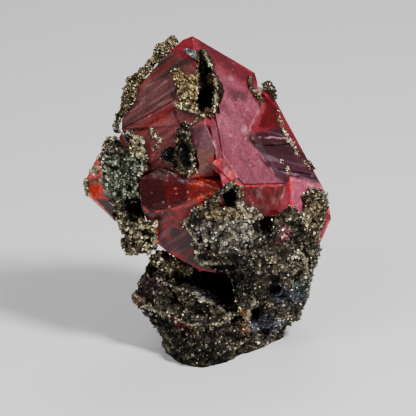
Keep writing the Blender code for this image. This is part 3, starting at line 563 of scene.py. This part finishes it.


# Areas of the sulphide as seen: outline, colour, share of its grains kept, how deep it is sunk in mm
# Near black: painted shade in deep holes, pits and the cave, where no light reaches
HOLE_SHADE = (7, 6, 5)
SULPHIDE_AREAS = [
    ([(-22, 60.5), (-18.6, 60.5), (-18.6, 56.5), (-22.5, 56.5)], (58, 60, 64), 0.8, 0.0),
    ([(-20, 59.5), (-15.4, 58.5), (-15.2, 53.2), (-19, 53.5)], (156, 138, 106), 1.0, 0.0),
    ([(-27, 54), (-16, 54), (-15.7, 42.7), (-26, 42.7)], (112, 116, 98), 1.0, 0.0),
    ([(-20.5, 43), (-15.6, 43), (-15.6, 38.8), (-20.5, 39.4)], HOLE_SHADE, 0.1, 0.6),
    ([(-22, 39.5), (-12, 38.5), (-11, 30), (-22, 28.5)], (118, 106, 82), 1.0, 0.0),
    ([(-15.7, 37.8), (-11.2, 37.8), (-11.2, 35.2), (-15.7, 35.2)], (168, 154, 118), 1.0, 0.0),
    (
        [(-3.2, 37.2), (1.8, 38.8), (9.2, 37.8), (12, 33.8), (9.2, 29.8), (0.5, 29.8), (-2.5, 31.8)],
        (128, 123, 110), 1.0, 0.0,
    ),
    (
        [(-2.5, 41.2), (0.5, 43.2), (8, 41.8), (9.5, 38.8), (4.2, 37.8), (-0.8, 38.2)],
        (150, 132, 100), 1.0, 0.0,
    ),
    ([(3.6, 46), (7.4, 46), (7.4, 41.6), (3.6, 41.6)], HOLE_SHADE, 0.0, 0.8),
    ([(12, 38.2), (15.6, 38.2), (15.6, 34.4), (12, 34.8)], HOLE_SHADE, 0.0, 1.4),
    ([(16, 45.8), (20.5, 45.8), (20.5, 39), (16, 39)], (70, 48, 34), 0.6, 0.3),
    ([(18.2, 36), (19.4, 36.4), (20.8, 34.2), (19.2, 32.2), (17.0, 31.8)], (140, 74, 90), 0.8, 0.0),
    ([(23.5, 43.8), (27, 45.5), (31, 42.8), (31, 34.8), (28.5, 31.8), (24.5, 32.8)], (108, 95, 70), 1.0, 0.0),
    # The cave under the crystal: painted shade
    (
        [(-8.4, 25), (-4.5, 27), (7.5, 26.2), (7.4, 15), (4.6, 15.4), (1.4, 19), (-2.5, 22), (-7, 23.2)],
        HOLE_SHADE, 0.05, 1.2,
    ),
    # The cave's wall: painted light, far paler than its own dark grey, so that it shows in the cave's shade
    (
        [(-7.5, 22.8), (-4, 24), (1.5, 20.4), (3.6, 16.4), (-0.8, 17.4), (-4.5, 20.4)],
        (150, 142, 148), 0.3, -0.6,
    ),
    ([(-16.2, 23), (-13.2, 24), (-10.2, 23), (-12, 20.8), (-15, 20.8)], (112, 84, 92), 0.6, 0.0),
    ([(-20.2, 18.8), (-18.5, 20.8), (-16, 18.8), (-16.2, 15.8), (-18.5, 16.2)], (140, 104, 92), 0.7, 0.0),
    ([(-9.5, 14), (-7, 13.4), (-4, 11.4), (-3, 9.6), (-6, 9.8), (-9, 11.8)], (112, 60, 56), 0.4, 0.0),
    ([(-6.2, 7.2), (-4.5, 9.2), (-1, 8.4), (1, 6.2), (-2, 5.2), (-5, 5.8)], (104, 90, 100), 0.5, 0.0),
    (
        [(15.5, 19.8), (18.5, 21.2), (23, 19.8), (22.5, 16.8), (18.5, 16.2), (16, 17.8)],
        (100, 102, 112), 0.8, 0.0,
    ),
    ([(10.5, 12.2), (15, 14.2), (20, 12.2), (18, 9.2), (13.5, 8.8), (11, 9.8)], (104, 104, 112), 0.8, 0.0),
    ([(21.8, 22.8), (25.2, 22.8), (25.2, 17.8), (22.5, 17.5)], (66, 80, 80), 0.8, 0.0),
    ([(10.4, 16), (12.8, 16), (12.8, 12.2), (10.4, 12.2)], HOLE_SHADE, 0.0, 1.4),
    ([(15.4, 24.4), (17.6, 24.4), (17.6, 19), (15.4, 19)], HOLE_SHADE, 0.0, 1.4),
    ([(8, 15.4), (10.3, 15.4), (10.3, 9), (8, 9)], (140, 104, 72), 1.0, 0.0),
    ([(-9, 9), (2, 10), (6, 5), (4, -1), (-4, -1), (-9, 4)], (50, 44, 34), 0.9, 0.0),
    ([(6, 30), (12, 28), (12, 17), (8, 17), (7, 24)], (62, 57, 48), 1.0, 0.0),
    ([(-16.5, 15), (-9, 13), (-9, 8), (-13, 11)], (28, 25, 20), 0.8, 0.0),
]
SULPHIDE_RIMS = [
    [(-10.8, 22.2), (-7.5, 20.8), (-4.5, 20.2), (-2.5, 18.8), (-0.8, 17.0)],
    [(-2.0, 17.8), (1.5, 16.8), (5.0, 15.2), (5.5, 13.2), (4.5, 12.2), (-4.5, 11.5), (-8.2, 13.2)],
    [(-20.2, 20.2), (-17.0, 17.8), (-14.0, 14.8), (-9.5, 13.8)],
    [
        (-2.5, 41.0), (-4.5, 39.8), (-6.0, 36.8), (-4.0, 33.8),
        (-2.0, 31.2), (-3.2, 28.2), (-2.5, 27.0), (1.8, 27.0),
    ],
    [(3.5, 44.0), (5.8, 46.5), (7.5, 44.2), (6.0, 43.0), (8.5, 40.8), (9.2, 38.8), (13.0, 38.5)],
    [(22.5, 30.2), (24.5, 27.2), (25.0, 24.0), (23.8, 21.2)],
    [(11.8, 17.8), (9.5, 13.2), (10.5, 9.0)],
    [(2.0, 34.6), (4.0, 36.4), (6.6, 34.0), (4.4, 31.8)],
    [(-24.4, 57.6), (-20.0, 59.4), (-16.2, 57.4), (-16.0, 53.4), (-16.8, 49.0)],
    [(-12.8, 37.8), (-13.2, 35.4), (-12.8, 32.2)],
    [(20.2, 48.4), (22.4, 46.6), (23.0, 42.0), (24.6, 36.2)],
]
SUMMIT_AREAS = [
    (
        [
            (-0.8, 82), (6, 82), (6, 61), (2.4, 61), (2.2, 64),
            (2.4, 67.5), (2.5, 71), (1.8, 74.5), (0.4, 77.5), (-0.6, 80),
        ],
        (70, 50, 36), 0.0, 2.6,
    ),
    ([(-9, 77.4), (-2, 77.4), (-2, 64.6), (-9, 64.6)], (156, 134, 90), 1.0, 0.0),
    (
        [
            (-2.0, 80), (-1.2, 79), (0.8, 75), (1.6, 70.2), (0.4, 66.8),
            (1.2, 65.8), (-0.5, 64.2), (-2.5, 65), (-2.4, 74),
        ],
        HOLE_SHADE, 0.03, 1.8,
    ),
    ([(-0.6, 74.6), (1.6, 74.6), (1.8, 71.2), (0, 71)], (70, 44, 24), 0.4, 0.0),
    ([(-0.8, 66), (2.4, 66), (2.4, 62), (-0.8, 62)], (92, 64, 42), 0.8, 0.0),
    ([(-2.2, 81), (-0.9, 81), (-0.6, 74), (-2.0, 74)], HOLE_SHADE, 0.1, 0.3),
    ([(-6.6, 81), (-3, 81), (-3, 78), (-6.6, 78)], (150, 156, 160), 1.0, 0.0),
    ([(-8, 62), (-4, 62), (-4.4, 57.8), (-7.6, 57.8)], (36, 24, 16), 0.6, 0.0),
    ([(-6.8, 56.6), (-4.2, 56.6), (-3.6, 50.6), (-6.4, 50.6)], HOLE_SHADE, 0.1, 0.4),
    ([(-11.8, 57), (-7, 57), (-7, 50), (-11.8, 50)], (40, 27, 18), 0.6, 0.0),
]
SUMMIT_RIMS = [
    [(-1.0, 79.8), (-0.2, 77.6), (1.2, 75.2), (1.9, 71.5), (1.8, 67.8), (1.6, 64.4)],
    [(-8.6, 66.4), (-6.0, 65.2), (-3.0, 64.2), (0.0, 62.6)],
    [(-6.2, 59.6), (-4.4, 59.0)],
    [(-4.6, 48.8), (-3.6, 51.0), (-4.2, 54.0)],
]


# Materials


def new_material(name):
    made = bpy.data.materials.new(name)
    made.use_nodes = True
    nodes, links = made.node_tree.nodes, made.node_tree.links
    return made, nodes, links, nodes["Principled BSDF"]


def attribute(nodes, name):
    layer = nodes.new("ShaderNodeVertexColor")
    layer.layer_name = name
    return layer.outputs["Color"]


def texture(nodes, links, kind, scale, detail=None):
    """A noise or cell texture in the object's own metres."""
    place = nodes.new("ShaderNodeTexCoord")
    made = nodes.new(kind)
    links.new(place.outputs["Object"], made.inputs["Vector"])
    made.inputs["Scale"].default_value = scale
    if detail is not None:
        made.inputs["Detail"].default_value = detail
    return made


def ramp(nodes, links, source, low, high, start=0.0, end=1.0):
    """Map a value from one range to another."""
    made = nodes.new("ShaderNodeMapRange")
    made.inputs["From Min"].default_value = low
    made.inputs["From Max"].default_value = high
    made.inputs["To Min"].default_value = start
    made.inputs["To Max"].default_value = end
    links.new(source, made.inputs["Value"])
    return made.outputs["Result"]


def product(nodes, links, colour, value):
    made = nodes.new("ShaderNodeVectorMath")
    made.operation = "MULTIPLY"
    links.new(colour, made.inputs[0])
    links.new(value, made.inputs[1])
    return made.outputs["Vector"]


def bump(nodes, links, finish, height, strength, distance):
    made = nodes.new("ShaderNodeBump")
    made.inputs["Strength"].default_value = strength
    made.inputs["Distance"].default_value = distance
    links.new(height, made.inputs["Height"])
    links.new(made.outputs["Normal"], finish.inputs["Normal"])


def calcite_material():
    """Satin raspberry calcite that clears to a red glass where it is broken."""
    made, nodes, links, finish = new_material("raspberry_calcite")
    grain = texture(nodes, links, "ShaderNodeTexNoise", 1800.0, 5.0)
    veil = texture(nodes, links, "ShaderNodeTexNoise", 260.0, 6.0)
    shade = ramp(nodes, links, veil.outputs["Fac"], 0.3, 0.7, 0.78, 1.22)
    speck = ramp(nodes, links, grain.outputs["Fac"], 0.32, 0.68, 0.6, 1.4)
    tinted = product(nodes, links, attribute(nodes, "tint"), shade)
    links.new(product(nodes, links, tinted, speck), finish.inputs["Base Color"])
    links.new(attribute(nodes, "clear"), finish.inputs["Transmission Weight"])
    links.new(ramp(nodes, links, attribute(nodes, "clear"), 0.2, 0.8, 0.42, 0.1), finish.inputs["Roughness"])
    finish.inputs["IOR"].default_value = 1.6
    finish.inputs["Specular IOR Level"].default_value = 0.25
    bump(nodes, links, finish, grain.outputs["Fac"], 0.3, 0.0001)
    body = nodes.new("ShaderNodeVolumeAbsorption")
    body.inputs["Color"].default_value = (0.93, 0.22, 0.16, 1.0)
    body.inputs["Density"].default_value = 130.0
    links.new(body.outputs["Volume"], nodes["Material Output"].inputs["Volume"])
    return made


def sulphide_material():
    """Granular sulphide: dull between its grains, metallic and bright on them."""
    made, nodes, links, finish = new_material("sulphide_grains")
    facets = texture(nodes, links, "ShaderNodeTexVoronoi", 2300.0)
    speckle = nodes.new("ShaderNodeSeparateColor")
    links.new(facets.outputs["Color"], speckle.inputs["Color"])
    shade = ramp(nodes, links, speckle.outputs["Red"], 0.0, 1.0, 0.4, 1.6)
    links.new(product(nodes, links, attribute(nodes, "tint"), shade), finish.inputs["Base Color"])
    finish.inputs["Metallic"].default_value = 0.85
    links.new(ramp(nodes, links, attribute(nodes, "grain"), 0.0, 1.0, 0.6, 0.32), finish.inputs["Roughness"])
    bump(nodes, links, finish, facets.outputs["Distance"], 0.5, 0.0002)
    return made


# Pieces


SHARP_ANGLE = math.radians(24)  # faces that meet at more than this keep a crisp edge


def crystal_piece(node, front_edge, back_edge, areas, lines, finish):
    piece = copy_of(node, node + "_faces")
    refined(piece.data, front_edge, back_edge)
    crystal_finish(piece, areas, lines)
    piece.data.shade_smooth()
    piece.data.set_sharp_from_angle(angle=SHARP_ANGLE)
    piece.data.materials.append(finish)
    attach(piece, "root")
    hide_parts(node)


PALE_GOLD = linear(226, 214, 176)
GREY = linear(120, 122, 122)
ROCK_COLOUR = linear(88, 80, 66)
CRUST_COLOUR = linear(84, 71, 48)
ROCK_LOOK = (SULPHIDE_AREAS, SULPHIDE_RIMS, ROCK_COLOUR)
CRUST_LOOK = (SUMMIT_AREAS, SUMMIT_RIMS, CRUST_COLOUR)
FIRST_CRUST_SEED = 80
CRUST_GRAIN_SHARE = 28  # grains tried on a crust, by the square of its longest side in mm
SIGHT = np.array((0.0, SIGHT_LEVEL, -SIGHT_RISE))
RIM_WIDTH = 0.5  # in mm, from the line of a pale rim to its edge
BORDER = 0.45  # softness, in mm, of the border of a painted area
SPECIMEN_MIDDLE = (45.0, 22.0)  # how far up and away, in mm, the lamps point
NO_POINTS = np.empty((0, 3))
SPRINKLE_SIZE = 0.38  # of a sprinkled crystal, in mm
SPRINKLE_SPOTS = 110000  # tried over a whole crystal, of which those near its lines are kept
PIECE_TRIANGLES = 190000  # the most in one piece; grains beyond it go in a piece of their own
GRAIN_TRIANGLES = 10.4  # of a grain, on average, with some to spare
BIG_HOLE = 2.6  # from one of a crust's bigger holes to the next, in mm
NODULE = 2.2  # from one rounded lump to the next, in mm
GROUND = 0.45  # no relief or grain below this height, in mm, so that the base stays flat


def vuggy(points, seed):
    """Open small holes scattered over a surface: how open it is there, and how near a hole's rim."""
    opening = np.zeros(len(points))
    rim = np.zeros(len(points))
    for size, part, own in ((BIG_HOLE, 0.4, seed), (BIG_HOLE / 2, 0.5, seed + 11)):
        gap, _, number = cells(points, size, own)
        open_here = number < part
        opening = np.maximum(opening, smooth_step(0.46, 0.24, gap) * open_here * size / BIG_HOLE)
        rim = np.maximum(rim, smooth_step(0.14, 0.0, np.abs(gap - 0.52)) * open_here)
    return opening, rim


def finished(piece, node, finish):
    """Give a piece its finish and its place on the body, and let it stand for its node."""
    piece.data.materials.append(finish)
    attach(piece, "root")
    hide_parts(node)


def sulphide_piece(node, seed, voxel, grain_count, grain_size, look, relief, finish):
    """A vuggy skin with crystals of pyrite over it; those beyond its room go in a second piece."""
    areas, rims, base = look
    rng = np.random.default_rng(seed)
    piece = copy_of(node, node + "_grains")
    fused(piece, voxel)
    mesh = piece.data
    points, normals = points_of(mesh), normals_of(mesh)
    spots = as_seen(points)
    facing = np.ones(len(points)) if node.startswith("pyrite") else from_front(normals)
    above = smooth_step(0.3, 1.2, points[:, 2] / MM)
    opening, rim = vuggy(points, seed)
    patchy = np.clip(1.0 + 0.9 * layered(points, 3.2, seed + 5, 4), 0.3, 1.9)
    colour = np.repeat(base[None], len(points), axis=0)
    share_kept = np.ones(len(points))
    sunk = np.zeros(len(points))
    wander = np.stack((layered(points, 1.6, 15, 3), layered(points, 1.6, 19, 3)), axis=1) * 0.7
    for outline, tone, kept, depth in areas:
        here = inside(spots + wander, outline, BORDER) * facing
        colour += (linear(*tone) - colour) * here[:, None]
        share_kept += (kept - share_kept) * here
        sunk += (depth - sunk) * here
    colour = colour * patchy[:, None]
    ridge = np.zeros(len(points))
    for line in rims:
        ridge = np.maximum(ridge, near(spots + wander * 0.8, line, RIM_WIDTH) * facing)
    ridge *= smooth_step(-0.6, 0.0, layered(points, 1.8, seed + 21))
    lumpy = 0.65 * layered(points, 2.4, seed) + 0.4 * layered(points, 0.9, seed + 7, 2)
    lumpy = lumpy + 0.5 * layered(points, 5.5, seed + 3, 2)
    bend = np.stack([layered(points, 1.5, seed + step, 2) for step in (31, 33, 35)], axis=1) * 0.5 * MM
    gap, beyond, _ = cells(points + bend, NODULE, seed + 37)
    between = smooth_step(0.26, 0.05, beyond - gap) * (1.0 - ridge)
    height = lumpy - 0.2 - 0.6 * between - 1.25 * opening * (1.0 - ridge) + 0.15 * rim
    height = relief * height + 0.25 * ridge
    moved = normals * height[:, None] + SIGHT * sunk[:, None]
    move_points(mesh, points + moved * above[:, None] * MM)

    shade = (1.0 - 0.9 * opening) * (1.0 - 0.8 * smooth_step(-0.05, -0.6, lumpy)) * (1.0 - 0.85 * between)
    skin = colour * (0.6 * shade + 0.2 * rim)[:, None]
    skin += (PALE_GOLD * 0.45 - skin) * (0.6 * ridge)[:, None]
    places, outward, here = spots_on(mesh, grain_count, rng)
    wanted = share_kept * (1.0 - 0.92 * opening) * (0.7 + 0.3 * rim) * (1.0 - 0.9 * between)
    wanted = wanted * (0.45 + 0.55 * smooth_step(-0.7, 0.1, lumpy))
    keep = (places[:, 2] > GROUND * MM) & (rng.random(len(places)) < (wanted + ridge)[here])
    places, outward, here = places[keep], outward[keep], here[keep]
    sizes = grain_size * rng.lognormal(0.0, 0.32, len(places)) * (1.0 - 0.25 * ridge[here])
    pick = rng.random(len(places)) + 0.25 * rim[here] + 0.4 * ridge[here] + 0.35 * lumpy[here]
    tones = colour[here] * rng.uniform(0.3, 1.8, size=(len(places), 1))
    bright = pick > 0.72
    tones[bright] = colour[here][bright] * 2.4 + 0.05
    pale = pick > 0.97
    own = np.clip(colour[here][pale].mean(axis=1) / base.mean(), 0.3, 1.0)
    tones[pale] = PALE_GOLD * (rng.uniform(0.6, 1.1, len(own)) * own)[:, None]
    grey = rng.random(len(places)) < 0.12
    tones[grey] = GREY * rng.uniform(0.2, 1.0, size=(int(grey.sum()), 1))
    tones = np.clip(tones * np.clip(share_kept[here] + 0.15, 0.0, 1.0)[:, None], 0, 1)
    centres = places + outward * (sizes * 0.12 * MM)[:, None]
    room = (PIECE_TRIANGLES - len(corners_of(mesh))) / GRAIN_TRIANGLES
    first = np.arange(len(places)) < room
    bodies = grains(centres[first], sizes[first], tones[first], rng)
    piece.data = mesh_with_grains(piece.name, points_of(mesh), corners_of(mesh), skin, bodies)
    finished(piece, node, finish)
    if first.all():
        return
    bodies = grains(centres[~first], sizes[~first], tones[~first], rng)
    more = mesh_with_grains(node + "_more_grains", NO_POINTS, NO_POINTS.astype(int), NO_POINTS, bodies)
    extra = bpy.data.objects.new(node + "_more_grains", more)
    bpy.context.scene.collection.objects.link(extra)
    finished(extra, node, finish)


def sprinkled(node, lines, seed, finish):
    """Small pyrite crystals that sit along lines on a crystal's front."""
    rng = np.random.default_rng(seed)
    places, outward, _ = spots_on(bpy.data.objects[node + "_faces"].data, SPRINKLE_SPOTS, rng)
    spots = as_seen(places)
    wander = np.stack((layered(places, 1.6, 15, 3), layered(places, 1.6, 19, 3)), axis=1) * 0.6
    wanted = np.zeros(len(places))
    for line, width in lines:
        wanted = np.maximum(wanted, near(spots + wander, line, width))
    wanted *= from_front(outward) * smooth_step(-0.35, 0.1, layered(places, 1.1, seed + 3))
    keep = rng.random(len(places)) < wanted
    places, outward = places[keep], outward[keep]
    sizes = SPRINKLE_SIZE * rng.lognormal(0.0, 0.3, len(places))
    tones = PALE_GOLD * rng.uniform(0.08, 1.0, size=(len(places), 1))
    centres = places + outward * (sizes * rng.uniform(0.0, 0.5, len(places)) * MM)[:, None]
    bodies = grains(centres, sizes, tones, rng)
    mesh = mesh_with_grains(node + "_pyrite", NO_POINTS, NO_POINTS.astype(int), NO_POINTS, bodies)
    piece = bpy.data.objects.new(node + "_pyrite", mesh)
    bpy.context.scene.collection.objects.link(piece)
    finished(piece, node, finish)


def stage():
    """A pale floor and soft studio lights."""
    bpy.ops.mesh.primitive_plane_add(size=6.0)
    floor = bpy.context.object
    floor.name = "floor"
    pale, _, _, finish = new_material("pale_floor")
    finish.inputs["Base Color"].default_value = (0.72, 0.72, 0.73, 1.0)
    finish.inputs["Roughness"].default_value = 0.9
    floor.data.materials.append(pale)
    world = bpy.data.worlds.new("studio")
    bpy.context.scene.world = world
    world.use_nodes = True
    world.node_tree.nodes["Background"].inputs["Color"].default_value = (0.9, 0.93, 1.0, 1.0)
    world.node_tree.nodes["Background"].inputs["Strength"].default_value = 0.18
    target = seen(0.0, *SPECIMEN_MIDDLE)
    lamps = {
        "key": ((0.3, -0.3, 0.45), 0.14, 6.5),
        "fill": ((-0.3, -0.42, 0.42), 0.25, 2.0),
        "back": ((0.05, 0.45, 0.5), 0.3, 2.0),
    }
    for name, (offset, size, power) in lamps.items():
        light = bpy.data.lights.new(name, "AREA")
        light.size = size
        light.energy = power
        lamp = bpy.data.objects.new(name, light)
        lamp.location = target + Vector(offset)
        lamp.rotation_euler = (-Vector(offset)).to_track_quat("-Z", "Y").to_euler()
        bpy.context.scene.collection.objects.link(lamp)


def camera():
    lens = bpy.data.cameras.new("camera")
    lens.sensor_width = LENS_SENSOR
    lens.lens = LENS_SENSOR * CAMERA_DISTANCE / PICTURE_WIDTH
    lens.clip_start = 0.01
    eye = bpy.data.objects.new("camera", lens)
    middle = seen(0.0, PICTURE_UP, PICTURE_AWAY)
    direction = Vector((0.0, -SIGHT_LEVEL, SIGHT_RISE))
    eye.location = middle + direction * CAMERA_DISTANCE * MM
    eye.rotation_euler = (-direction).to_track_quat("-Z", "Y").to_euler()
    bpy.context.scene.collection.objects.link(eye)
    bpy.context.scene.camera = eye


stage()
camera()
calcite = calcite_material()
sulphide = sulphide_material()
crystal_piece("raspberry_crystal", 0.5, 1.1, FACE_AREAS, FACE_LINES, calcite)
crystal_piece("side_crystal_left", 0.34, 0.6, SIDE_AREAS, SIDE_LINES, calcite)
crystal_piece("side_crystal_right", 0.34, 0.6, SIDE_AREAS, SIDE_LINES, calcite)
sprinkled("raspberry_crystal", FACE_CRUSTS, 51, sulphide)
sprinkled("side_crystal_left", SIDE_CRUSTS, 53, sulphide)
sulphide_piece("sulphide_matrix", 71, 0.48, 60000, 0.45, ROCK_LOOK, 1.0, sulphide)
sulphide_piece("left_sulphide_mass", 73, 0.33, 15000, 0.43, ROCK_LOOK, 0.9, sulphide)
for seed, node in enumerate(sorted(frame["nodes"]), start=FIRST_CRUST_SEED):
    if node.startswith("pyrite") or node == "sulphide_cluster":
        low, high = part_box(node)
        spread = max(h - l for l, h in zip(low, high)) / MM
        count = int(CRUST_GRAIN_SHARE * spread**2)
        sulphide_piece(node, seed, 0.26, count, 0.38, CRUST_LOOK, 0.5, sulphide)
